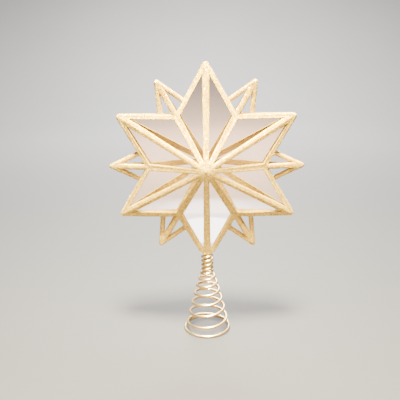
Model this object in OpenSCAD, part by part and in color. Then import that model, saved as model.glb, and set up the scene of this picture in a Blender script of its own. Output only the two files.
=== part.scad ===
// A six-pointed faceted star with six small open rays, standing on a conical wire spring.
// Origin: the middle of the spring's foot, on the surface that it stands on. The star faces -Y.

/* [Star] */
// Radius of a large point, to the middle line of its bars
tip_radius = 100; // [85:1:120]
// Radius of a notch between two large points, to the middle line
notch_radius = 57; // [50:1:64]
// Height of the centre of the star over the parting plane
hub_rise = 30.5; // [24:0.5:38]
// Height of a large point over the parting plane
tip_rise = 3; // [2.4:0.1:5]
// Height of a notch over the parting plane
notch_rise = 8; // [6.5:0.1:10]
// Width of the bars along the outline
outline_w = 4.8; // [4.2:0.1:6]
// Width of the bars from the centre to the large points
ridge_w = 5.4; // [4:0.1:7]
// Width of the bars from the centre to the notches
valley_w = 5; // [4:0.1:7]
// Depth of the bars behind the facets
spoke_t = 4.5; // [3.5:0.1:6]
// How far a bar keeps its full depth where it meets the outline
spoke_root = 0.5; // [0.3:0.1:1]

/* [Mirror sheets] */
// Thickness of each sheet
sheet_t = 1.2; // [0.8:0.1:1.6]
// How far a sheet reaches under the outline
sheet_lap = 1.2; // [0.8:0.1:1.5]
// Room between a sheet's edge and its seat
seat_clearance = 0.1; // [0.05:0.05:0.2]

/* [Small rays] */
// Radius of a small ray's tip, to the middle line of its bars
ray_radius = 95; // [85:1:105]
// Angle between a side bar and the middle of the ray
ray_half_angle = 25.2; // [23:0.1:28]
// Width of a ray's side bars
ray_w = 5; // [4:0.1:5.6]
// Width of a ray's ridge bars
ray_ridge_w = 5.8; // [4:0.1:6.4]
// Thickness of a ray at its tip
ray_tip_t = 4; // [3:0.1:5]
// Thickness of the side bars where they meet the star
ray_edge_t = 4.6; // [3.6:0.1:5.4]
// Height of the ray's ridges over the parting plane where they meet the star
ray_base_rise = 7.5; // [6.5:0.1:8.5]
// Depth of the ray's ridge bars
ray_ridge_t = 3.8; // [3:0.1:4.4]
// Width of the square pegs on the side bars
peg_w = 2; // [1.6:0.1:2.4]
// Length of the pegs
peg_l = 2.5; // [1.8:0.1:2.8]
// Room around a peg and past its end
peg_clearance = 0.1; // [0.05:0.05:0.2]

/* [Spring] */
// Diameter of the wire
wire_d = 2.8; // [2.4:0.1:2.8]
// Radius of the foot, to the middle of the wire
foot_radius = 25.5; // [25:0.1:28]
// Radius of the neck, to the middle of the wire
neck_radius = 5.2; // [5.2:0.1:6]
// How far round from the right side to the back the wire starts, in turns
start_turn = 0.08; // [0:0.01:0.2]
// Turns that lie flat at the foot
foot_turns = 0.45; // [0.4:0.05:0.5]
// Turns over which the wire starts to climb
climb_turns = 1; // [0.8:0.05:1]
// Turns from the foot's end of the wire to the start of the neck
cone_turns = 8; // [7.5:0.1:8]
// Turns in all
coil_turns = 11.875; // [11.5:0.125:12.5]
// Rise in one turn just above the foot
cone_pitch = 12.5; // [12:0.1:14]
// Rise in one turn at the neck
neck_pitch = 4.6; // [4:0.05:5]
// How much is ground off the underside of the foot
foot_cut = 0.2; // [0.2:0.05:0.5]

/* [Stem] */
// Room between the shank and the turns around it
shank_clearance = 0.3; // [0.2:0.05:0.4]
// Turns of the neck that the shank reaches through
shank_turns = 3.6; // [2.5:0.1:3.8]
// Diameter of the collar between the spring and the star
collar_d = 10.8; // [10:0.2:13]
// Thickness of the collar
collar_t = 2; // [1.5:0.1:3]
// Room between the top of the spring and the collar
collar_clearance = 0.3; // [0.2:0.05:0.5]
// Diameter of the pin that the star turns on
pin_d = 3.4; // [2.8:0.1:3.6]
// Length of the pin
pin_l = 8; // [6:0.5:9]
// Room around the pin, past its end and under the star
pin_clearance = 0.15; // [0.1:0.05:0.25]
// Length that is cut off the bottom point, above the collar
point_cut = 8.5; // [7:0.5:11]
// Wall of the boss around the pin
boss_wall = 1.8; // [1.4:0.1:2]
// Room between the boss and the mirror sheets
boss_clearance = 0.2; // [0.15:0.05:0.4]

/* [Hidden] */
$fn = 48;
gold = [0.86, 0.72, 0.47];
wire_gold = [0.80, 0.68, 0.50];
silver = [0.90, 0.89, 0.87];

// Large points and notches take turns, one every half point
points = 6;
half_step = 180 / points;
corners = 2 * points;

// How far the outline's middle line runs from the star's centre, and how much wider or narrower than it
// the star's outer and inner edges, the block of its facets and the hollow behind its bars are
tip_at = clock_point(tip_radius, 0);
notch_at = clock_point(notch_radius, half_step);
edge_run = (notch_at - tip_at) / norm(notch_at - tip_at);
edge_distance = abs(tip_at.x * edge_run.y - tip_at.y * edge_run.x);
outer_reach = 1 + outline_w / 2 / edge_distance;
inner_reach = 1 - outline_w / 2 / edge_distance;
trim_reach = 1 + outline_w / edge_distance;
hollow_reach = 1 - (outline_w / 2 + spoke_root) / edge_distance;

// A round tip is drawn with this many flats
tip_flats = 8;

// The boss for the pin stands at the bottom point, between the two frames
point_cut_radius = tip_radius - point_cut;
bore_r = pin_d / 2 + pin_clearance;
boss_r = bore_r + boss_wall;
bore_end = point_cut_radius - pin_l - 2 * pin_clearance;
boss_end = bore_end - boss_wall;

// The spring's wire: six sides, twenty-four rings in a turn
wire_sides = 6;
turn_rings = 24;
wire_r = wire_d / 2;
foot_height = wire_r - foot_cut;
taper = 1.1;
ease = 1.3;
climb_end = foot_turns + climb_turns;

// Heights of the pieces on the spring's axis
coil_top = wire_height(coil_turns) + wire_r;
collar_bottom = coil_top + collar_clearance;
collar_top = collar_bottom + collar_t;
star_height = collar_top + pin_clearance + point_cut_radius;
shank_r = neck_radius - wire_r - shank_clearance;
shank_l = shank_turns * neck_pitch;

// Point at a radius and a clock angle, with 12 o'clock up
function clock_point(radius, clock) = [radius * sin(clock), radius * cos(clock)];

function corner_radius(i) = i % 2 == 0 ? tip_radius : notch_radius;

function corner_rise(i) = i % 2 == 0 ? tip_rise : notch_rise;

// The star's corners, with the outline moved in or out from the middle line
function star_corners(reach) = [for (i = [0 : corners - 1]) clock_point(reach * corner_radius(i), i * half_step)];

// Where two lines cross, each given by a point and a direction
function crossing(p, u, q, v) = p + u * ((q - p).x * v.y - (q - p).y * v.x) / (u.x * v.y - u.y * v.x);

// Round tip that points along a clock angle, between two straight sides at an angle to it
function round_tip(at, radius, clock, half_angle) =
    let (sweep = 90 - half_angle)
    [for (k = [0 : tip_flats]) at + clock_point(radius, clock - sweep + 2 * sweep * k / tip_flats)];

// The star's outer edge, with round tips and sharp notches
function star_edge() =
    let (half_angle = asin(edge_distance / tip_radius), notches = star_corners(outer_reach))
    [for (i = [0 : corners - 1])
        each i % 2 == 0
            ? round_tip(clock_point(tip_radius, i * half_step), outline_w / 2, i * half_step, half_angle)
            : [notches[i]]];

// Half the width of the bar from the centre to a corner
function spoke_half_w(i) = (i % 2 == 0 ? ridge_w : valley_w) / 2;

// The window in one facet, between two spokes and the outline
function facet_window(i) =
    let (
        rim = star_corners(inner_reach),
        rim_run = rim[(i + 1) % corners] - rim[i],
        first = clock_point(1, i * half_step),
        second = clock_point(1, (i + 1) * half_step),
        beside_first = clock_point(spoke_half_w(i), i * half_step + 90),
        beside_second = clock_point(spoke_half_w(i + 1), (i + 1) * half_step - 90)
    )
    [
        crossing(beside_first, first, beside_second, second),
        crossing(beside_first, first, rim[i], rim_run),
        crossing(beside_second, second, rim[i], rim_run)
    ];

// The frame's bars seen from the front: outline, six ridges and six valleys
module frame_pattern() {
    difference() {
        polygon(star_edge());
        for (i = [0 : corners - 1])
            polygon(facet_window(i));
    }
}

// The block under the star's facets: hub at the top, rim lower, flat underneath
module faceted_block(reach, drop, underside) {
    rim = star_corners(reach);
    hub = hub_rise - drop;
    upper = [for (i = [0 : corners - 1]) [rim[i].x, rim[i].y, hub - reach * (hub_rise - corner_rise(i))]];
    lower = [for (p = rim) [p.x, p.y, underside]];
    facets = [for (i = [0 : corners - 1]) [0, 1 + i, 1 + (i + 1) % corners]];
    walls = [for (i = [0 : corners - 1])
        let (next = (i + 1) % corners)
            [1 + i, 1 + corners + i, 1 + corners + next, 1 + next]];
    base = [[for (i = [corners - 1 : -1 : 0]) 1 + corners + i]];
    polyhedron(concat([[0, 0, hub]], upper, lower), concat(facets, walls, base));
}

// A mirror sheet's outline, with a slot that clears the boss at the bottom point
module sheet_outline(grow) {
    slot_r = boss_r + boss_clearance - grow;
    slot_top = -boss_end + boss_clearance - grow;
    difference() {
        polygon(star_corners(1 - (outline_w / 2 - sheet_lap - grow) / edge_distance));
        translate([-slot_r, -tip_radius])
            square([2 * slot_r, tip_radius + slot_top]);
    }
}

// Where a ray's right-hand side bar meets the star's outer edge, with the ray pointing up
function ray_meets() =
    crossing(
        [0, ray_radius], clock_point(1, 180 - ray_half_angle),
        clock_point(outer_reach * notch_radius, 0), clock_point(1, 90 - edge_angle())
    );

// Slope of the star's outer edge on the right of a notch that points up
function edge_angle() =
    let (run = clock_point(tip_radius, half_step) - clock_point(notch_radius, 0))
    atan2(run.y, run.x);

// The two pegs of a ray, from the star's outer edge inwards; room grows them into sockets
module ray_pegs(room) {
    for (side = [0, 1])
        mirror([side, 0, 0])
            translate(ray_meets())
                rotate([90, 0, edge_angle()])
                    translate([-peg_w / 2 - room, -peg_w / 2 - room, -room])
                        cube([peg_w + 2 * room, peg_w + 2 * room, peg_l + 2 * room]);
}

// One half of the star's frame, face up on its parting plane, with 12 o'clock along Y
module half_frame() {
    difference() {
        intersection() {
            faceted_block(trim_reach, 0, -spoke_t);
            union() {
                difference() {
                    linear_extrude(hub_rise)
                        frame_pattern();
                    faceted_block(hollow_reach, spoke_t, -spoke_t);
                }
                translate([-boss_r, -point_cut_radius])
                    cube([2 * boss_r, point_cut_radius - boss_end, boss_r]);
            }
        }
        translate([0, 0, -sheet_t])
            linear_extrude(2 * sheet_t)
                sheet_outline(seat_clearance);
        for (i = [0 : points - 1])
            rotate(-half_step * (2 * i + 1))
                ray_pegs(peg_clearance);
        translate([0, -bore_end, 0])
            rotate([90, 0, 0])
                cylinder(r = bore_r, h = tip_radius - bore_end);
        translate([-tip_radius / 2, -point_cut_radius - tip_radius, -spoke_t])
            cube([tip_radius, tip_radius, hub_rise]);
    }
}

// Stands a flat-lying piece upright at the star's height, facing the front or the back
module upright(back) {
    translate([0, 0, star_height])
        rotate([90, 0, back ? 180 : 0])
            children();
}

module front_frame() {
    color(gold)
        upright(false)
            half_frame();
}

module back_frame() {
    color(gold)
        upright(true)
            half_frame();
}

module mirror_sheet(back) {
    color(silver)
        upright(back)
            linear_extrude(sheet_t)
                sheet_outline(0);
}

module front_mirror() {
    mirror_sheet(false);
}

module back_mirror() {
    mirror_sheet(true);
}

// A ray's bars seen from the front, cut off along the star's outer edge
module ray_pattern() {
    tip = [0, ray_radius];
    down = clock_point(1, 180 - ray_half_angle);
    beside = clock_point(ray_w / 2, 90 - ray_half_angle);
    base = [0, 0];
    along = [1, 0];
    outer_base = crossing(tip + beside, down, base, along);
    inner_base = crossing(tip - beside, down, base, along);
    ridge_side = [ray_ridge_w / 2, 0];
    difference() {
        polygon(concat(
            [[-outer_base.x, 0]],
            round_tip(tip, ray_w / 2, 0, ray_half_angle),
            [outer_base]
        ));
        for (side = [0, 1])
            mirror([side, 0])
                polygon([crossing(tip - beside, down, ridge_side, [0, 1]), inner_base, ridge_side]);
        polygon(star_corners_at_notch(outer_reach));
    }
}

// The star's corners with a notch at 12 o'clock
function star_corners_at_notch(reach) =
    [for (i = [0 : corners - 1]) clock_point(reach * corner_radius(i + 1), i * half_step)];

// The block between a ray's front and back roofs
module ray_block() {
    tip_y = ray_radius + 2 * ray_w;
    base_y = notch_radius;
    base_x = (tip_y - base_y) * tan(ray_half_angle);
    tip_z = ray_tip_t / 2;
    edge_z = ray_edge_t / 2;
    slope = (ray_base_rise - tip_z) / (tip_y - outer_reach * notch_radius);
    ridge_z = tip_z + slope * (tip_y - base_y);
    polyhedron(
        [
            [0, tip_y, tip_z], [0, base_y, ridge_z], [base_x, base_y, edge_z], [-base_x, base_y, edge_z],
            [0, tip_y, -tip_z], [0, base_y, -ridge_z], [base_x, base_y, -edge_z], [-base_x, base_y, -edge_z]
        ],
        [
            [0, 2, 1], [0, 1, 3], [4, 5, 6], [4, 7, 5],
            [0, 4, 6, 2], [0, 3, 7, 4], [1, 2, 6, 5, 7, 3]
        ]
    );
}

// The open space between a ray's front and back ridges
module ray_hollow() {
    tip_y = ray_radius - ray_w / 2 / sin(ray_half_angle);
    base_y = notch_radius;
    base_x = (tip_y - base_y) * tan(ray_half_angle);
    base_z = ray_base_rise - ray_ridge_t;
    polyhedron(
        [[0, tip_y, 0], [base_x, base_y, 0], [0, base_y, base_z], [-base_x, base_y, 0], [0, base_y, -base_z]],
        [[0, 1, 2], [0, 2, 3], [0, 3, 4], [0, 4, 1], [4, 3, 2, 1]]
    );
}

// One small ray, lying flat and pointing along Y
module small_ray() {
    deep = 2 * ray_base_rise;
    difference() {
        intersection() {
            translate([0, 0, -deep])
                linear_extrude(2 * deep)
                    ray_pattern();
            ray_block();
        }
        ray_hollow();
    }
    ray_pegs(0);
}

module ray_at(hour) {
    color(gold)
        upright(false)
            rotate(-hour * half_step)
                small_ray();
}

// Turned stem: a shank inside the neck, a collar on top of it and the pin that the star turns on
module spring_stem() {
    color(gold) {
        translate([0, 0, collar_bottom - shank_l])
            cylinder(r = shank_r, h = shank_l);
        translate([0, 0, collar_bottom])
            cylinder(d = collar_d, h = collar_t);
        translate([0, 0, collar_top])
            cylinder(d = pin_d, h = pin_l);
    }
}

// Radius of the wire's middle line after so many turns
function wire_radius(turn) =
    neck_radius + (foot_radius - neck_radius) * pow(max(0, 1 - turn / cone_turns), taper);

// Height gained between the end of the climb and a turn on the cone, where the rise falls off to the neck's
function cone_gain(turn) =
    let (run = turn - climb_end, whole = cone_turns - climb_end, fall = cone_pitch - neck_pitch)
    run * cone_pitch - fall * whole / (ease + 1) * pow(run / whole, ease + 1);

// Height of the wire's middle line after so many turns: flat foot, climb, cone, close neck
function wire_height(turn) =
    foot_height + (
        turn < foot_turns ? 0
        : turn < climb_end ? cone_pitch * pow(turn - foot_turns, 2) / (2 * climb_turns)
        : turn < cone_turns ? cone_pitch * climb_turns / 2 + cone_gain(turn)
        : cone_pitch * climb_turns / 2 + cone_gain(cone_turns) + neck_pitch * (turn - cone_turns)
    );

function wire_point(turn) =
    let (r = wire_radius(turn), angle = 360 * (start_turn + turn))
    [r * cos(angle), r * sin(angle), wire_height(turn)];

function unit(v) = v / norm(v);

// The wire's middle line, with a straight end of one diameter at each end
wire_turns = [for (i = [0 : turn_rings * coil_turns]) wire_point(i / turn_rings)];
wire_last = len(wire_turns) - 1;
wire_line = concat(
    [wire_turns[0] - wire_d * unit(wire_turns[1] - wire_turns[0])],
    wire_turns,
    [wire_turns[wire_last] + wire_d * unit(wire_turns[wire_last] - wire_turns[wire_last - 1])]
);
wire_count = len(wire_line);

// Ring of the tube at one point of the line, square to it and not below the ground face of the foot
function wire_ring(i) =
    let (
        along = unit(wire_line[min(i + 1, wire_count - 1)] - wire_line[max(i - 1, 0)]),
        across = unit(cross(along, [0, 0, 1])),
        up = cross(across, along)
    )
    [for (k = [0 : wire_sides - 1])
        let (
            angle = 360 * k / wire_sides,
            p = wire_line[i] + wire_r * (cos(angle) * across + sin(angle) * up)
        )
        [p.x, p.y, max(0, p.z)]];

module cone_spring() {
    rings = [for (i = [0 : wire_count - 1]) each wire_ring(i)];
    sides = [for (i = [0 : wire_count - 2], k = [0 : wire_sides - 1])
        let (
            next = (k + 1) % wire_sides,
            a = i * wire_sides + k,
            b = i * wire_sides + next,
            c = a + wire_sides,
            d = b + wire_sides
        )
        each [[a, b, d], [a, d, c]]];
    first = [for (k = [1 : wire_sides - 2]) [0, k + 1, k]];
    start = (wire_count - 1) * wire_sides;
    last = [for (k = [1 : wire_sides - 2]) [start, start + k, start + k + 1]];
    color(wire_gold)
        polyhedron(rings, concat(sides, first, last));
}

// Least room between two stretches of the wire that are half a turn or more apart
wire_gap = min([for (i = [0 : wire_last], j = [i + turn_rings / 2 : 1 : wire_last])
    norm(wire_turns[i] - wire_turns[j])]) - wire_d;
echo(least_gap_of_the_wire_to_itself = wire_gap);

cone_spring();
spring_stem();
front_frame();
back_frame();
front_mirror();
back_mirror();
ray_at(1);  // ray_1_oclock
ray_at(3);  // ray_3_oclock
ray_at(5);  // ray_5_oclock
ray_at(7);  // ray_7_oclock
ray_at(9);  // ray_9_oclock
ray_at(11);  // ray_11_oclock
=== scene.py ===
import math

import bmesh
import bpy
from mathutils import Matrix, Vector


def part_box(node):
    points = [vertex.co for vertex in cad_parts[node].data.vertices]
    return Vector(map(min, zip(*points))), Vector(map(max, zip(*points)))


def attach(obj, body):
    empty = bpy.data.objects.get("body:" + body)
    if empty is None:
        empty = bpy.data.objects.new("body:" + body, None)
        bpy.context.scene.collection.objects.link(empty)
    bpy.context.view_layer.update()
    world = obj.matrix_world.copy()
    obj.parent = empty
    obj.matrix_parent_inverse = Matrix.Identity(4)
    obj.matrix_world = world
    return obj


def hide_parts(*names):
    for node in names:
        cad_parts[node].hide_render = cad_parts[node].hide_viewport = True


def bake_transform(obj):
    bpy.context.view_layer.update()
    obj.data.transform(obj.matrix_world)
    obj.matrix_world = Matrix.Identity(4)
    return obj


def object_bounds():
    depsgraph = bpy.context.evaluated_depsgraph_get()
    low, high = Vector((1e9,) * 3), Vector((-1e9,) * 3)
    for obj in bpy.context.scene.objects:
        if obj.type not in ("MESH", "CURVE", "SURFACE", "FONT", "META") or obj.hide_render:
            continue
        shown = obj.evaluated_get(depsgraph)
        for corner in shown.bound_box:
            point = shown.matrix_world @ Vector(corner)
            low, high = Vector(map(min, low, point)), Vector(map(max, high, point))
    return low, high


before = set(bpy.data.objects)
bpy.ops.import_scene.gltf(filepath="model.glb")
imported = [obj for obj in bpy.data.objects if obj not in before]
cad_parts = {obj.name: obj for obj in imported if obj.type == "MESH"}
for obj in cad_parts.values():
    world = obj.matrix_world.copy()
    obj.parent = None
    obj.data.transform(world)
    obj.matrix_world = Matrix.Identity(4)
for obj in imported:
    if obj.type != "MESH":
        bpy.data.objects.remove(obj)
cad_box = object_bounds()

# Conical spring: one length of hard steel wire, wound on a cone from a wide foot up to a close neck.
# It is plated champagne gold, its underside is ground flat to stand on, and its neck holds the stem.

mm = 0.001


class Socket:
    """An output socket in a node tree. Arithmetic on it adds Math nodes, and add() makes any other node."""

    def __init__(self, tree, output=None):
        self.tree = tree
        self.output = output

    def add(self, kind, settings=None, inputs=None, out=0):
        node = self.tree.nodes.new(kind)
        for name, value in (settings or {}).items():
            if name == "stops":
                ramp = node.color_ramp.elements
                for number, (place, colour) in enumerate(value):
                    stop = ramp[number] if number < 2 else ramp.new(place)
                    stop.position = place
                    stop.color = colour
            else:
                setattr(node, name, value)
        for key, value in (inputs or {}).items():
            self.feed(node.inputs[key], value)
        return Socket(self.tree, node.outputs[out])

    def feed(self, target, value):
        for one in value if isinstance(value, list) else [value]:
            if isinstance(one, Socket):
                self.tree.links.new(one.output, target)
            else:
                target.default_value = one

    def maths(self, operation, *values):
        return self.add("ShaderNodeMath", {"operation": operation}, dict(enumerate(values)))

    def __add__(self, other):
        return self.maths("ADD", self, other)

    def __radd__(self, other):
        return self.maths("ADD", other, self)

    def __sub__(self, other):
        return self.maths("SUBTRACT", self, other)

    def __rsub__(self, other):
        return self.maths("SUBTRACT", other, self)

    def __mul__(self, other):
        return self.maths("MULTIPLY", self, other)

    def __rmul__(self, other):
        return self.maths("MULTIPLY", other, self)

    def __truediv__(self, other):
        return self.maths("DIVIDE", self, other)

    def __pow__(self, other):
        return self.maths("POWER", self, other)

    def least(self, other):
        """This value, but at least the other."""
        return self.maths("MAXIMUM", self, other)

    def most(self, other):
        """This value, but at most the other."""
        return self.maths("MINIMUM", self, other)


def new_tree(name, sizes):
    """A Geometry Nodes tree with a geometry input and named sizes, and the sockets of those inputs."""
    kinds = {int: "NodeSocketInt", float: "NodeSocketFloat", tuple: "NodeSocketVector"}
    tree = bpy.data.node_groups.new(name, "GeometryNodeTree")
    tree.interface.new_socket("Geometry", in_out="INPUT", socket_type="NodeSocketGeometry")
    for size, value in sizes.items():
        tree.interface.new_socket(size, in_out="INPUT", socket_type=kinds[type(value)])
    tree.interface.new_socket("Geometry", in_out="OUTPUT", socket_type="NodeSocketGeometry")
    entry = tree.nodes.new("NodeGroupInput")
    return tree, {socket.name: Socket(tree, socket) for socket in entry.outputs if socket.name}


def end_tree(shape, material):
    """Ends a tree in Realize Instances and Set Material."""
    real = shape.add("GeometryNodeRealizeInstances", inputs={"Geometry": shape})
    dressed = real.add("GeometryNodeSetMaterial", inputs={"Geometry": real, "Material": material})
    leave = shape.tree.nodes.new("NodeGroupOutput")
    shape.tree.links.new(dressed.output, leave.inputs["Geometry"])


def grown(name, tree, sizes, start=None):
    """Runs a tree on an object, or on nothing, and keeps what it makes as an object with a plain mesh."""
    if start is None:
        start = bpy.data.objects.new(name + "_start", bpy.data.meshes.new(name + "_start"))
        bpy.context.scene.collection.objects.link(start)
    modifier = start.modifiers.new(tree.name, "NODES")
    modifier.node_group = tree
    for item in tree.interface.items_tree:
        if item.in_out == "INPUT" and item.name in sizes:
            modifier[item.identifier] = sizes[item.name]
    depsgraph = bpy.context.evaluated_depsgraph_get()
    mesh = bpy.data.meshes.new_from_object(start.evaluated_get(depsgraph), depsgraph=depsgraph)
    start.modifiers.remove(modifier)
    bpy.data.objects.remove(start)
    mesh.name = name
    piece = bpy.data.objects.new(name, mesh)
    bpy.context.scene.collection.objects.link(piece)
    return piece


def new_material(name):
    """A material with its Principled shader, and a socket to build its nodes from."""
    material = bpy.data.materials.new(name)
    material.use_nodes = True
    return material, Socket(material.node_tree), material.node_tree.nodes["Principled BSDF"]


plated_wire, nodes, shader = new_material("plated_wire")
place = nodes.add("ShaderNodeTexCoord", out="Object")
tarnish = nodes.add("ShaderNodeTexNoise", inputs={"Vector": place, "Scale": 160.0, "Detail": 3.0})
die_marks = nodes.add("ShaderNodeTexNoise", inputs={"Vector": place, "Scale": 2600.0, "Detail": 2.0})
wire_colours = [(0.30, (0.58, 0.38, 0.13, 1)), (0.70, (0.76, 0.56, 0.24, 1))]
wire_colour = nodes.add("ShaderNodeValToRGB", {"stops": wire_colours}, {"Fac": tarnish})
nodes.feed(shader.inputs["Base Color"], wire_colour)
nodes.feed(shader.inputs["Roughness"], 0.26 + 0.14 * die_marks)
shader.inputs["Metallic"].default_value = 1.0
scratch = nodes.add("ShaderNodeBump", inputs={"Strength": 0.15, "Distance": 0.05 * mm, "Height": die_marks})
nodes.feed(shader.inputs["Normal"], scratch)

spring_sizes = {
    "Foot radius": 25.5 * mm,
    "Neck radius": 5.2 * mm,
    "Wire radius": 1.4 * mm,
    "Foot height": 1.2 * mm,
    "Start turn": 0.08,
    "Foot turns": 0.45,
    "Climb turns": 1.0,
    "Cone turns": 8.0,
    "Coil turns": 11.875,
    "Cone pitch": 12.5 * mm,
    "Neck pitch": 4.6 * mm,
    "Rings in a turn": 48.0,
    "Wire sides": 16,
}
taper = 1.1
ease = 1.3
wound_wire, size = new_tree("wound_wire", spring_sizes)
points = size["Coil turns"] * size["Rings in a turn"] + 1
line = points.add("GeometryNodeMeshLine", inputs={"Count": points})
turn = line.add("GeometryNodeInputIndex") / size["Rings in a turn"]
left = (1 - turn / size["Cone turns"]).least(0)
radius = size["Neck radius"] + (size["Foot radius"] - size["Neck radius"]) * left ** taper
climb = (turn - size["Foot turns"]).least(0).most(size["Climb turns"])
climbed = size["Cone pitch"] * climb * climb / (2 * size["Climb turns"])
climb_end = size["Foot turns"] + size["Climb turns"]
whole = size["Cone turns"] - climb_end
run = (turn - climb_end).least(0).most(whole)
fall = size["Cone pitch"] - size["Neck pitch"]
coned = run * size["Cone pitch"] - fall * whole / (ease + 1) * (run / whole) ** (ease + 1)
necked = (turn - size["Cone turns"]).least(0) * size["Neck pitch"]
angle = 2 * math.pi * (size["Start turn"] + turn)
centre = line.add(
    "ShaderNodeCombineXYZ",
    inputs={
        "X": radius * angle.maths("COSINE", angle),
        "Y": radius * angle.maths("SINE", angle),
        "Z": size["Foot height"] + climbed + coned + necked,
    },
)
path = line.add("GeometryNodeSetPosition", inputs={"Geometry": line, "Position": centre})
path = path.add("GeometryNodeMeshToCurve", inputs={"Mesh": path})
section = path.add(
    "GeometryNodeCurvePrimitiveCircle",
    inputs={"Resolution": size["Wire sides"], "Radius": size["Wire radius"]},
)
wire = path.add(
    "GeometryNodeCurveToMesh",
    inputs={"Curve": path, "Profile Curve": section, "Fill Caps": True},
)

# What would reach under the floor is lifted to it, which grinds the foot flat
wire_place = wire.add("GeometryNodeInputPosition")
wire_height = wire.add("ShaderNodeSeparateXYZ", inputs={"Vector": wire_place}, out="Z")
ground_off = wire.add("ShaderNodeCombineXYZ", inputs={"Z": (0 - wire_height).least(0)})
wire = wire.add("GeometryNodeSetPosition", inputs={"Geometry": wire, "Offset": ground_off})
wire = wire.add("GeometryNodeSetShadeSmooth", inputs={"Geometry": wire})
end_tree(wire, plated_wire)
spring = grown("conical_spring", wound_wire, spring_sizes)
spring.data.set_sharp_from_angle(angle=math.radians(50))
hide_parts("cone_spring")
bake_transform(spring)

# Star frames: two moulded plastic halves, front and back, glued face to face around the mirror sheets.
# Twelve bars run from the raised hub to the points and notches, and a coat of gold glitter covers them all.

glitter, nodes, shader = new_material("gold_glitter")
place = nodes.add("ShaderNodeTexCoord", out="Object")
grain_scale = 1 / (0.55 * mm)
coarse_scale = 1 / (1.4 * mm)
grain = nodes.add("ShaderNodeTexVoronoi", inputs={"Vector": place, "Scale": grain_scale}, out="Color")
coarse = nodes.add("ShaderNodeTexVoronoi", inputs={"Vector": place, "Scale": coarse_scale}, out="Color")
coarse_tone = nodes.add("ShaderNodeSeparateColor", inputs={"Color": coarse}, out="Green")
grain_tone = nodes.add("ShaderNodeSeparateColor", inputs={"Color": grain}, out="Red")
grain_metal = nodes.add("ShaderNodeSeparateColor", inputs={"Color": grain}, out="Blue")
glint = nodes.add("ShaderNodeAttribute", {"attribute_name": "glint"}, out="Fac")
loose = glint.maths("GREATER_THAN", glint, 0.001)
patches = nodes.add("ShaderNodeTexNoise", inputs={"Vector": place, "Scale": 45.0, "Detail": 3.0})
glitter_colours = [
    (0.0, (0.28, 0.125, 0.020, 1)),
    (0.35, (0.50, 0.28, 0.036, 1)),
    (0.75, (0.64, 0.43, 0.058, 1)),
    (1.0, (0.74, 0.60, 0.115, 1)),
]
grain_share = 0.6
coarse_share = 0.7
patch_share = 0.3
darken = 0.25
speckle = grain_share * grain_tone + coarse_share * coarse_tone + patch_share * patches - darken
flake_shade = 0.55 + 0.45 * glint
shade = speckle * (1 - loose) + flake_shade * loose
glitter_colour = nodes.add("ShaderNodeValToRGB", {"stops": glitter_colours}, {"Fac": shade})

# The sides of the upper bars that face the mirrors get painted shade: a dark brown is mixed into the coat
# there, and its metal is taken away.
# The painted shade fades out towards the lower points, between these two heights.
shade_end_height = 165 * mm
shade_full_height = 185 * mm
painted_shade_from = 0.1
painted_shade_rate = 4
most_painted_shade = 0.8
height = nodes.add("ShaderNodeSeparateXYZ", inputs={"Vector": place}, out="Z")
upper_shade_mask = ((height - shade_end_height) / (shade_full_height - shade_end_height)).least(0).most(1)
depth = nodes.add("ShaderNodeSeparateXYZ", inputs={"Vector": place}, out="Y")
skin = nodes.add("ShaderNodeTexCoord", out="Normal")
skin_depth = nodes.add("ShaderNodeSeparateXYZ", inputs={"Vector": skin}, out="Y")
inwards = 0 - depth.maths("SIGN", depth) * skin_depth
painted_shade = ((inwards - painted_shade_from) * painted_shade_rate).least(0).most(most_painted_shade) * upper_shade_mask
# Colour of the painted shade on the mirror-facing sides of the upper bars
painted_shade_colour = (0.34, 0.185, 0.045, 1)
coat_colour = nodes.add(
    "ShaderNodeMix", {"data_type": "RGBA"}, {0: painted_shade, 6: glitter_colour, 7: painted_shade_colour}, out=2
)
nodes.feed(shader.inputs["Base Color"], coat_colour)
metal = 0.15 + 0.30 * grain_metal * (1 - loose) + 0.55 * loose
# The painted shade also takes the metal out of the coat
nodes.feed(shader.inputs["Metallic"], metal * (1 - painted_shade))
nodes.feed(shader.inputs["Roughness"], 0.34 + 0.26 * grain_tone - 0.12 * loose)
tilt = nodes.add("ShaderNodeVectorMath", {"operation": "SUBTRACT"}, {0: grain, 1: (0.5, 0.5, 0.5)})
grain_tilt = 0.4
tilt = nodes.add("ShaderNodeVectorMath", {"operation": "SCALE"}, {0: tilt, "Scale": grain_tilt * (1 - loose)})
facing = nodes.add("ShaderNodeNewGeometry", out="Normal")
facing = nodes.add("ShaderNodeVectorMath", {"operation": "ADD"}, {0: facing, 1: tilt})
facing = nodes.add("ShaderNodeVectorMath", {"operation": "NORMALIZE"}, {0: facing})
nodes.feed(shader.inputs["Normal"], facing)
shader.inputs["Specular IOR Level"].default_value = 0.22

tip_radius = 100
notch_radius = 57
hub_rise = 30.5
tip_rise = 3
notch_rise = 8
outline_w = 4.8
ridge_w = 5.4
valley_w = 5
spoke_t = 4.5
sheet_t = 1.2
sheet_lap = 1.2
seat_clearance = 0.1
points_of_star = 6
half_step = math.pi / points_of_star
star_height = 180.0 * mm

# One facet lies between a point at 12 o'clock and the notch at its right; distances are in millimetres
tip_at = Vector((0, tip_radius))
notch_at = Vector((notch_radius * math.sin(half_step), notch_radius * math.cos(half_step)))
valley_inward = Vector((-math.cos(half_step), math.sin(half_step)))
edge_run = (notch_at - tip_at).normalized()
edge_out = Vector((-edge_run.y, edge_run.x))
edge_distance = tip_at.dot(edge_out)
slope_y = (hub_rise - tip_rise) / tip_radius
slope_x = (hub_rise - notch_rise - slope_y * notch_at.y) / notch_at.x


def crossing(first_out, first_distance, second_out, second_distance):
    """Where two lines cross, each given by the direction square to it and its distance along that."""
    turn = first_out.x * second_out.y - first_out.y * second_out.x
    return Vector((
        (first_distance * second_out.y - second_distance * first_out.y) / turn,
        (second_distance * first_out.x - first_distance * second_out.x) / turn,
    ))


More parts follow.
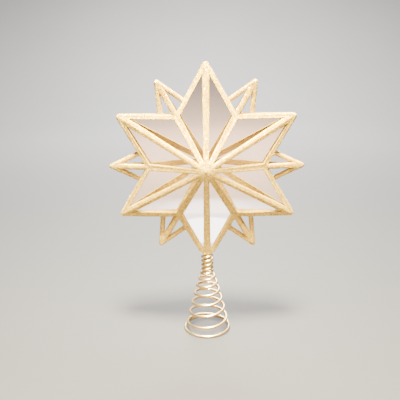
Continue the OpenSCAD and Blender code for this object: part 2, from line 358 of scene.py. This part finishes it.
def facet_ring(ridge, valley, rim, flare=0):
    """Three corners of the facet's triangle, moved in from its ridge, its valley and the outline.

    The flare widens the bars from the hub to their far ends.
    """
    across = Vector((1, 0))
    return [
        crossing(across, ridge, valley_inward, valley),
        crossing(across, ridge + flare, edge_out, edge_distance - rim),
        crossing(valley_inward, valley + flare, edge_out, edge_distance - rim),
    ]


def on_facet(spot, drop, lowest=0):
    """A point on the facet's slope, or so far under it."""
    return Vector((spot.x, spot.y, max(lowest, hub_rise - slope_x * spot.x - slope_y * spot.y - drop)))


def facet_faces():
    """Faces of the bars in one facet: crest, rounded edges, walls, undersides and the seat of the sheet.

    A bar starts a little narrower than its solid at the hub and flares to its far end.
    """
    crest = 0.5
    edge_round = 1.2
    hub_narrow = 0.15
    flare = 1.0
    tip_round = 3.3
    under_round = 0.8
    edge_steps = 7
    tip_steps = 6
    seat_top = sheet_t + seat_clearance
    faces = []
    turns = [math.pi / 2 * step / edge_steps for step in range(edge_steps + 1)]
    halves = [ridge_w / 2 - hub_narrow, valley_w / 2 - hub_narrow, outline_w / 2]

    # From the middle lines over the rounded edge and down the wall of the window
    rings = [[on_facet(spot, 0) for spot in facet_ring(0, 0, 0)]]
    rings.append([on_facet(spot, 0) for spot in facet_ring(crest, crest, crest)])
    for turn in turns:
        back = edge_round * (1 - math.sin(turn))
        drop = edge_round * (1 - math.cos(turn))
        edge = facet_ring(*[half - back for half in halves], flare)
        rings.append([on_facet(spot, drop) for spot in edge])
    rings.append([on_facet(spot, spoke_t - under_round, seat_top) for spot in facet_ring(*halves, flare)])
    under = facet_ring(halves[0] - under_round, halves[1] - under_round, halves[2], flare)
    rings.append([on_facet(spot, spoke_t, seat_top) for spot in under])
    for upper, lower in zip(rings, rings[1:]):
        for corner in range(3):
            after = (corner + 1) % 3
            faces.append([upper[corner], upper[after], lower[after], lower[corner]])

    # Undersides of the two half bars, the outline's inner wall, and the seat for the sheet
    hub_under = Vector((0, 0, hub_rise - spoke_t))
    near_hub, near_tip, near_notch = rings[-1]
    walls = facet_ring(0, 0, halves[2])
    tip_wall = on_facet(walls[1], spoke_t, seat_top)
    notch_wall = on_facet(walls[2], spoke_t, seat_top)
    faces.append([hub_under, near_hub, near_tip, tip_wall])
    faces.append([hub_under, notch_wall, near_notch, near_hub])
    wall_top = [tip_wall, near_tip, near_notch, notch_wall]
    wall_foot = [Vector((p.x, p.y, seat_top)) for p in wall_top]
    for number in range(3):
        faces.append([wall_top[number], wall_top[number + 1], wall_foot[number + 1], wall_foot[number]])
    seat = facet_ring(0, 0, halves[2] - sheet_lap - seat_clearance)[1:]
    seat_upper = [Vector((p.x, p.y, seat_top)) for p in seat]
    seat_lower = [Vector((p.x, p.y, 0)) for p in seat]
    faces.append(wall_foot + seat_upper[::-1])
    faces.append(seat_upper + seat_lower[::-1])

    # From the outline's middle line over its outer edge, round the tip, and down to the parting plane
    edge_clock = math.atan2(edge_out.x, edge_out.y)
    tip_middle = Vector((0, (edge_distance + outline_w / 2 - tip_round) / edge_out.y))
    outer = []
    for turn in turns:
        reach = outline_w / 2 - edge_round * (1 - math.sin(turn))
        drop = edge_round * (1 - math.cos(turn))
        row = [on_facet(notch_at * (1 + reach / edge_distance), drop)]
        for step in range(tip_steps + 1):
            clock = edge_clock * (1 - step / tip_steps)
            bend = reach + tip_round - outline_w / 2
            row.append(on_facet(tip_middle + bend * Vector((math.sin(clock), math.cos(clock))), drop))
        outer.append(row)
    outer.append([Vector((p.x, p.y, 0)) for p in outer[-1]])
    tip_top = rings[0][1]
    faces.append([tip_top, rings[0][2], outer[0][0], outer[0][1]])
    for first, second in zip(outer[0][1:], outer[0][2:]):
        faces.append([tip_top, first, second])
    for upper, lower in zip(outer, outer[1:]):
        for number in range(len(upper) - 1):
            faces.append([upper[number], upper[number + 1], lower[number + 1], lower[number]])
    faces.append(seat_lower + outer[-1])
    return faces


def sewn(name, faces, smooth_below):
    """An object of faces that share their corners, with its normals outwards and hard edges kept."""
    weld = 0.001 * mm
    build = bmesh.new()
    for face in faces:
        build.faces.new([build.verts.new(p * mm) for p in face])
    bmesh.ops.remove_doubles(build, verts=build.verts, dist=weld)
    bmesh.ops.dissolve_degenerate(build, edges=build.edges, dist=weld)
    bmesh.ops.recalc_face_normals(build, faces=build.faces)
    for face in build.faces:
        face.smooth = True
    mesh = bpy.data.meshes.new(name)
    build.to_mesh(mesh)
    build.free()
    mesh.set_sharp_from_angle(angle=smooth_below)
    piece = bpy.data.objects.new(name, mesh)
    bpy.context.scene.collection.objects.link(piece)
    return piece


# One sixth of a half frame is turned about the hub, and the whole is stood upright
turned_sizes = {
    "Copies": points_of_star,
    "Weld": 0.001 * mm,
    "Stand": (math.pi / 2, 0.0, 0.0),
    "Lift": (0.0, 0.0, star_height),
}
turned_round, size = new_tree("turned_round", turned_sizes)
hub_points = size["Copies"].add(
    "GeometryNodeMeshLine", inputs={"Count": size["Copies"], "Offset": (0.0, 0.0, 0.0)}
)
spin = 2 * math.pi * hub_points.add("GeometryNodeInputIndex") / size["Copies"]
spin = spin.add("ShaderNodeCombineXYZ", inputs={"Z": spin})
copies = spin.add(
    "GeometryNodeInstanceOnPoints",
    inputs={"Points": hub_points, "Instance": size["Geometry"], "Rotation": spin},
)
copies = copies.add("GeometryNodeRealizeInstances", inputs={"Geometry": copies})
welded = copies.add("GeometryNodeMergeByDistance", inputs={"Geometry": copies, "Distance": size["Weld"]})
upright = welded.add(
    "GeometryNodeTransform",
    inputs={"Geometry": welded, "Rotation": size["Stand"], "Translation": size["Lift"]},
)
end_tree(upright, glitter)

# Thin six-sided flakes are half sunk in the coat, each at its own tilt
coat_sizes = {
    "Flakes": 300000.0,
    "Flake radius": 0.42 * mm,
    "Flake depth": 0.2 * mm,
    "Tilt": 0.4,
    "Proud": 0.02 * mm,
    "Outwards": (0.0, -1.0, 0.0),
    "Least facing": -0.3,
    "Seed": 7,
}
any_spin = 6.3
least_grow = 0.6
most_grow = 1.15
least_shine = 0.05
most_shine = 1.0
flaked, size = new_tree("flaked", coat_sizes)
normal = size["Seed"].add("GeometryNodeInputNormal")
turned_out = normal.add(
    "ShaderNodeVectorMath", {"operation": "DOT_PRODUCT"}, {0: normal, 1: size["Outwards"]}, out="Value"
)
shown = turned_out.add(
    "FunctionNodeCompare",
    {"data_type": "FLOAT", "operation": "GREATER_THAN"},
    {0: turned_out, 1: size["Least facing"]},
)
scattered = shown.add(
    "GeometryNodeDistributePointsOnFaces",
    inputs={
        "Mesh": size["Geometry"],
        "Selection": shown,
        "Density": size["Flakes"],
        "Seed": size["Seed"],
    },
)
lie = Socket(flaked, scattered.output.node.outputs["Rotation"])
rise = Socket(flaked, scattered.output.node.outputs["Normal"])
rise = rise.add("ShaderNodeVectorMath", {"operation": "SCALE"}, {0: rise, "Scale": size["Proud"]})
scattered = scattered.add("GeometryNodeSetPosition", inputs={"Geometry": scattered, "Offset": rise})
least_tilt = lie.add("ShaderNodeCombineXYZ", inputs={"X": 0 - size["Tilt"], "Y": 0 - size["Tilt"]})
most_tilt = lie.add("ShaderNodeCombineXYZ", inputs={"X": size["Tilt"], "Y": size["Tilt"], "Z": any_spin})
tip_over = lie.add(
    "FunctionNodeRandomValue",
    {"data_type": "FLOAT_VECTOR"},
    {"Min": least_tilt, "Max": most_tilt, "Seed": size["Seed"] + 1},
)
lie = lie.add(
    "FunctionNodeRotateRotation", {"rotation_space": "LOCAL"}, {"Rotation": lie, "Rotate By": tip_over}
)
grow = lie.add(
    "FunctionNodeRandomValue",
    {"data_type": "FLOAT"},
    {2: least_grow, 3: most_grow, "Seed": size["Seed"] + 2},
    out=1,
)
flake = lie.add(
    "GeometryNodeMeshCylinder",
    {"fill_type": "NGON"},
    {"Vertices": 6, "Radius": size["Flake radius"], "Depth": size["Flake depth"]},
)
flakes = lie.add(
    "GeometryNodeInstanceOnPoints",
    inputs={"Points": scattered, "Instance": flake, "Rotation": lie, "Scale": grow},
)
shine = lie.add(
    "FunctionNodeRandomValue",
    {"data_type": "FLOAT"},
    {2: least_shine, 3: most_shine, "Seed": size["Seed"] + 3},
    out=1,
)
flakes = flakes.add(
    "GeometryNodeStoreNamedAttribute",
    {"data_type": "FLOAT", "domain": "INSTANCE"},
    {"Geometry": flakes, "Name": "glint", "Value": shine},
)
both = flakes.add("GeometryNodeJoinGeometry", inputs={"Geometry": [size["Geometry"], flakes]})
end_tree(both, glitter)


def held_in(piece):
    """Keeps every corner of a piece inside the box of the solids."""
    low, high = cad_box
    for vertex in piece.data.vertices:
        for axis in range(3):
            vertex.co[axis] = min(max(vertex.co[axis], low[axis]), high[axis])


def cut(piece, operation, tool):
    """Joins a tool to a piece or cuts it out of it, sews the seam and removes the tool.

    Faces with many sides are split, so that no thin face folds over on itself later.
    """
    seam = 0.0005 * mm
    modifier = piece.modifiers.new("cut", "BOOLEAN")
    modifier.operation = operation
    modifier.solver = "MANIFOLD"
    modifier.object = tool
    depsgraph = bpy.context.evaluated_depsgraph_get()
    mesh = bpy.data.meshes.new_from_object(piece.evaluated_get(depsgraph), depsgraph=depsgraph)
    piece.modifiers.remove(modifier)
    build = bmesh.new()
    build.from_mesh(mesh)
    bmesh.ops.remove_doubles(build, verts=build.verts, dist=seam)
    many_sided = [face for face in build.faces if len(face.verts) > 4]
    bmesh.ops.triangulate(build, faces=many_sided, ngon_method="BEAUTY")
    build.to_mesh(mesh)
    build.free()
    piece.data = mesh
    bpy.data.objects.remove(tool)


def faced_outwards(piece):
    """Turns every face of a closed piece outwards."""
    build = bmesh.new()
    build.from_mesh(piece.data)
    bmesh.ops.recalc_face_normals(build, faces=build.faces)
    build.to_mesh(piece.data)
    build.free()


def block(name, low, high):
    """A block between two corners in metres."""
    build = bmesh.new()
    bmesh.ops.create_cube(build, size=1)
    for vertex in build.verts:
        for axis in range(3):
            vertex.co[axis] = low[axis] if vertex.co[axis] < 0 else high[axis]
    mesh = bpy.data.meshes.new(name)
    build.to_mesh(mesh)
    build.free()
    piece = bpy.data.objects.new(name, mesh)
    bpy.context.scene.collection.objects.link(piece)
    return piece


def lathed(profile, sides):
    """Faces of a profile of radii and heights, turned about the upright axis."""
    faces = []
    for step in range(sides):
        here = 2 * math.pi * step / sides
        there = 2 * math.pi * (step + 1) / sides
        for (low_r, low_z), (high_r, high_z) in zip(profile, profile[1:]):
            corners = [
                Vector((low_r * math.cos(here), low_r * math.sin(here), low_z)),
                Vector((low_r * math.cos(there), low_r * math.sin(there), low_z)),
                Vector((high_r * math.cos(there), high_r * math.sin(there), high_z)),
                Vector((high_r * math.cos(here), high_r * math.sin(here), high_z)),
            ]
            if low_r == 0:
                corners.pop(1)
            elif high_r == 0:
                corners.pop(3)
            faces.append(corners)
    return faces


# The hub is filled out to a smooth low dome with a small nose; radii and heights above the parting plane
hub_profile = [
    (0, 30.48), (0.7, 30.42), (1.3, 30.15), (1.9, 29.95), (3, 29.62), (6, 28.76), (8, 28.1),
    (9, 27.5), (9.5, 26.8), (9.7, 26), (9.7, 24), (0, 24),
]

# The bottom point is cut off, and a boss in its end holds the bore for the pin; distances from the hub
point_cut_radius = 91.5
boss_half = 3.65
boss_end = 81.4
bore_r = 1.85
bore_end = 82.4
spare = 1
below_half = 50
below_end = 150
hub_sides = 48
bore_sides = 32
hard_edge = math.radians(40)
for side, stand, seed in (("front", 0.0, 7), ("back", math.pi, 19)):
    right_faces = facet_faces()
    left_faces = [[Vector((-p.x, p.y, p.z)) for p in face] for face in right_faces]
    sixth = sewn(side + "_sixth", right_faces + left_faces, hard_edge)
    turned_sizes["Stand"] = (math.pi / 2, 0.0, stand)
    half = grown(side + "_bars", turned_round, turned_sizes, sixth)
    faced_outwards(half)
    outwards = -1 if side == "front" else 1
    hub = sewn(side + "_hub", lathed(hub_profile, hub_sides), hard_edge)
    hub.data.transform(Matrix.Rotation(-outwards * math.pi / 2, 4, "X"))
    hub.data.transform(Matrix.Translation((0, 0, star_height)))
    cut(half, "UNION", hub)
    boss_low, boss_high = sorted((0, outwards * boss_half * mm))
    boss = block(
        side + "_boss",
        (-boss_half * mm, boss_low, star_height - (point_cut_radius + spare) * mm),
        (boss_half * mm, boss_high, star_height - boss_end * mm),
    )
    cut(half, "UNION", boss)
    below = block(
        side + "_below",
        (-below_half * mm, -below_half * mm, star_height - below_end * mm),
        (below_half * mm, below_half * mm, star_height - point_cut_radius * mm),
    )
    cut(half, "DIFFERENCE", below)
    bore_foot = star_height / mm - point_cut_radius - spare
    bore_top = star_height / mm - bore_end
    bore_profile = [(0, bore_foot), (bore_r, bore_foot), (bore_r, bore_top), (0, bore_top)]
    cut(half, "DIFFERENCE", sewn(side + "_bore", lathed(bore_profile, bore_sides), hard_edge))
    coat_sizes["Outwards"] = (0.0, float(outwards), 0.0)
    coat_sizes["Seed"] = seed
    half = grown(side + "_star_frame", flaked, coat_sizes, half)
    held_in(half)
    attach(half, "star")
    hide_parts(side + "_frame")

# Mirror sheets: two flat sheets of silvered acrylic, cut to the star's outline, back to back in their seats.
# Each shows through the windows between the bars and carries a faint ripple from the sheet's making.

silvered, nodes, shader = new_material("silvered_acrylic")
place = nodes.add("ShaderNodeTexCoord", out="Object")
ripple = nodes.add("ShaderNodeTexNoise", inputs={"Vector": place, "Scale": 28.0, "Detail": 1.0})
haze = nodes.add("ShaderNodeTexNoise", inputs={"Vector": place, "Scale": 220.0, "Detail": 4.0})
sheet_colours = [(0.3, (0.90, 0.88, 0.86, 1)), (0.7, (0.95, 0.93, 0.91, 1))]
sheet_colour = nodes.add("ShaderNodeValToRGB", {"stops": sheet_colours}, {"Fac": haze})
nodes.feed(shader.inputs["Base Color"], sheet_colour)
shader.inputs["Metallic"].default_value = 1.0
nodes.feed(shader.inputs["Roughness"], 0.015 + 0.03 * haze)
waves = nodes.add("ShaderNodeBump", inputs={"Strength": 0.05, "Distance": 0.2 * mm, "Height": ripple})
nodes.feed(shader.inputs["Normal"], waves)
for sheet in ("front_mirror", "back_mirror"):
    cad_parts[sheet].data.materials.clear()
    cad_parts[sheet].data.materials.append(silvered)

# Small rays: six open arrowheads of moulded plastic with the same glitter, pegged into the star's notches.
# Each has two side bars and a ridge in front and behind, which all run together at a round tip.

ray_radius = 95
ray_half_angle = math.radians(25.2)
ray_side_half = (2.5, 2.15)
ray_ridge_half = (2.9, 1.9)
ray_base_rise = 7.5
ray_root = 1.6
ridge_foot_out = 1
notch_edge_turn = math.radians(90) - math.atan2(
    tip_radius * math.cos(half_step) - notch_radius, tip_radius * math.sin(half_step)
)
ray_edge_out = Vector((-math.cos(notch_edge_turn), math.sin(notch_edge_turn)))
ray_edge_distance = ray_edge_out.dot(Vector((0, notch_radius * (1 + outline_w / 2 / edge_distance))))
ray_side_out = Vector((math.cos(ray_half_angle), math.sin(ray_half_angle)))
ray_side_distance = ray_radius * math.sin(ray_half_angle)
side_foot = crossing(ray_side_out, ray_side_distance, ray_edge_out, ray_edge_distance - ray_root)
ray_sizes = {
    "Tip": (0.0, ray_radius * mm, 0.0),
    "Side foot": (side_foot.x * mm, side_foot.y * mm, 0.0),
    "Ridge foot": (0.0, (notch_radius + ridge_foot_out) * mm, (ray_base_rise - ray_ridge_half[1]) * mm),
    "Side half": (ray_side_half[0] * mm, ray_side_half[1] * mm, 1.0),
    "Ridge half": (ray_ridge_half[0] * mm, ray_ridge_half[1] * mm, 1.0),
    "Bar sides": 20,
}
ray_bars, size = new_tree("ray_bars", ray_sizes)
bars = []
for foot, half, flip in (
    ("Side foot", "Side half", (1.0, 1.0, 1.0)),
    ("Side foot", "Side half", (-1.0, 1.0, 1.0)),
    ("Ridge foot", "Ridge half", (1.0, 1.0, 1.0)),
    ("Ridge foot", "Ridge half", (1.0, 1.0, -1.0)),
):
    bar_foot = size[foot].add("ShaderNodeVectorMath", {"operation": "MULTIPLY"}, {0: size[foot], 1: flip})
    bar = bar_foot.add("GeometryNodeCurvePrimitiveLine", inputs={"Start": bar_foot, "End": size["Tip"]})
    bar = bar.add("GeometryNodeSetCurveNormal", {"mode": "Z_UP"}, {"Curve": bar})
    oval = bar.add(
        "GeometryNodeCurvePrimitiveCircle", inputs={"Resolution": size["Bar sides"], "Radius": 1.0}
    )
    oval = oval.add("GeometryNodeTransform", inputs={"Geometry": oval, "Scale": size[half]})
    bar = bar.add(
        "GeometryNodeCurveToMesh", inputs={"Curve": bar, "Profile Curve": oval, "Fill Caps": True}
    )
    bars.append(bar)
ball = bars[0].add("GeometryNodeMeshUVSphere", inputs={"Segments": 24, "Rings": 14, "Radius": 1.0})
ball_half = (ray_side_half[0] * mm, ray_side_half[0] * mm, ray_side_half[1] * mm)
ball = ball.add(
    "GeometryNodeTransform", inputs={"Geometry": ball, "Translation": size["Tip"], "Scale": ball_half}
)
joined = ball.add(
    "GeometryNodeMeshBoolean", {"operation": "UNION", "solver": "MANIFOLD"}, {"Mesh": bars + [ball]}
)
joined = joined.add("GeometryNodeSetShadeSmooth", inputs={"Geometry": joined})
end_tree(joined, glitter)
ray = grown("ray", ray_bars, ray_sizes)
ray.data.transform(Matrix.Rotation(-half_step, 4, "Z"))
turned_sizes["Stand"] = (math.pi / 2, 0.0, 0.0)
rays = grown("ray_ring", turned_round, turned_sizes, ray)
rays.data.set_sharp_from_angle(angle=hard_edge)
coat_sizes["Least facing"] = -2.0
coat_sizes["Seed"] = 31
rays = grown("small_rays", flaked, coat_sizes, rays)
held_in(rays)
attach(rays, "star")
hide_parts(*[f"ray_{hour}_oclock" for hour in (1, 3, 5, 7, 9, 11)])

# Stem: a turned plastic pin with a collar, finished like the star. Its shank is gripped by the spring's neck,
# the collar lies on the last turn, and the star turns on the thin pin above it.

stem_low, stem_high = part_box("spring_stem")
shank_r = 3.5
collar_r = 5.4
collar_t = 2
pin_r = 1.7
pin_l = 8
pin_foot = stem_high.z / mm - pin_l
collar_foot = pin_foot - collar_t
shank_end = stem_low.z / mm
soft = 0.5
bulge = 0.15
stem_sides = 40
stem_profile = [
    (0, shank_end), (shank_r - soft, shank_end), (shank_r - bulge, shank_end + bulge),
    (shank_r, shank_end + soft), (shank_r, collar_foot), (collar_r - soft, collar_foot),
    (collar_r - bulge, collar_foot + bulge), (collar_r, collar_foot + soft), (collar_r, pin_foot - soft),
    (collar_r - bulge, pin_foot - bulge), (collar_r - soft, pin_foot), (pin_r, pin_foot),
    (pin_r, pin_foot + pin_l - soft), (pin_r - soft, pin_foot + pin_l), (0, pin_foot + pin_l),
]
stem = sewn("stem", lathed(stem_profile, stem_sides), hard_edge)
stem.data.materials.append(glitter)
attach(stem, "stem")
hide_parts("spring_stem")

# Floor, lights and camera: a plain grey floor that sweeps up into a low wall and glows faintly, like a lit
# backdrop, under soft studio light.
# The camera stands in front of the star, a little above its top and looking down on it.

pale, nodes, shader = new_material("pale_floor")
place = nodes.add("ShaderNodeTexCoord", out="Object")
fleck = nodes.add("ShaderNodeTexNoise", inputs={"Vector": place, "Scale": 3.0, "Detail": 2.0})
floor_colours = [(0.3, (0.024, 0.0235, 0.0245, 1)), (0.7, (0.027, 0.0265, 0.0275, 1))]
floor_colour = nodes.add("ShaderNodeValToRGB", {"stops": floor_colours}, {"Fac": fleck})
nodes.feed(shader.inputs["Base Color"], floor_colour)
shader.inputs["Roughness"].default_value = 0.8
shader.inputs["Emission Color"].default_value = (1.0, 0.98, 0.96, 1)
shader.inputs["Emission Strength"].default_value = 0.3
floor_flat = 1500
sweep_r = 900
wall_h = 1400
sweep_steps = 12
floor_profile = [(0, 0), (floor_flat, 0)]
for step in range(1, sweep_steps + 1):
    bend = math.pi / 2 * step / sweep_steps
    floor_profile.append((floor_flat + sweep_r * math.sin(bend), sweep_r * (1 - math.cos(bend))))
floor_profile.append((floor_flat + sweep_r, wall_h))
floor_sides = 64
floor_edge = math.radians(60)
floor = sewn("floor", lathed(floor_profile, floor_sides), floor_edge)
floor.data.materials.append(pale)

world = bpy.data.worlds.new("studio")
bpy.context.scene.world = world
world.use_nodes = True
sky = world.node_tree.nodes["Background"]
sky.inputs["Color"].default_value = (1.0, 0.95, 0.90, 1)
sky.inputs["Strength"].default_value = 0.08


def soft_light(name, spot, aim, width, watts, colour, spread):
    """A square soft box at a spot, turned to what it lights, with its beam spread over so many degrees."""
    lamp = bpy.data.lights.new(name, "AREA")
    lamp.shape = "SQUARE"
    lamp.size = width
    lamp.energy = watts
    lamp.color = colour
    lamp.spread = math.radians(spread)
    stand = bpy.data.objects.new(name, lamp)
    stand.location = spot
    stand.rotation_euler = (Vector(aim) - Vector(spot)).to_track_quat("-Z", "Y").to_euler()
    bpy.context.scene.collection.objects.link(stand)


star_centre = (0, 0, star_height)
spring_middle = (0, 0, 35 * mm)
soft_light(
    "overhead", spot=(0.0, -0.28, 1.20), aim=star_centre,
    width=0.24, watts=41, colour=(1.0, 0.93, 0.66), spread=60,
)
soft_light(
    "rim", spot=(0.12, 0.50, 1.20), aim=star_centre,
    width=0.4, watts=3.5, colour=(1.0, 0.92, 0.76), spread=60,
)
soft_light(
    "pool", spot=(0.0, -0.36, 1.00), aim=(0.0, -0.33, 0.0),
    width=0.12, watts=95, colour=(0.97, 0.98, 1.0), spread=17,
)
soft_light(
    "spring_fill", spot=(0.0, -0.95, 0.42), aim=spring_middle,
    width=0.05, watts=0.10, colour=(1.0, 0.94, 0.80), spread=7.5,
)
soft_light(
    "wall_wash", spot=(0.0, -1.05, 1.20), aim=(0.0, -1.08, 0.0),
    width=0.6, watts=265, colour=(1.0, 0.65, 0.40), spread=84,
)
soft_light(
    "back_wash", spot=(0.0, 1.50, 1.40), aim=(0.0, 1.50, 0.0),
    width=0.8, watts=260, colour=(1.0, 0.97, 0.93), spread=112,
)

lens = bpy.data.cameras.new("camera")
lens.sensor_width = 36
lens.lens = 50.51
camera = bpy.data.objects.new("camera", lens)
camera_from_star = Vector((0.005286, -0.550261, 0.121694))
pitch = math.radians(15.98)
yaw = math.radians(-1.27)
roll = math.radians(0.67)
forward = Vector((math.sin(yaw) * math.cos(pitch), math.cos(yaw) * math.cos(pitch), -math.sin(pitch)))
right = Vector((math.cos(yaw), -math.sin(yaw), 0))
down = forward.cross(right)
right_rolled = right * math.cos(roll) + down * math.sin(roll)
down_rolled = down * math.cos(roll) - right * math.sin(roll)
turned = Matrix((right_rolled, -down_rolled, -forward)).transposed().to_4x4()
camera.matrix_world = Matrix.Translation(Vector(star_centre) + camera_from_star) @ turned
bpy.context.scene.collection.objects.link(camera)
bpy.context.scene.camera = camera
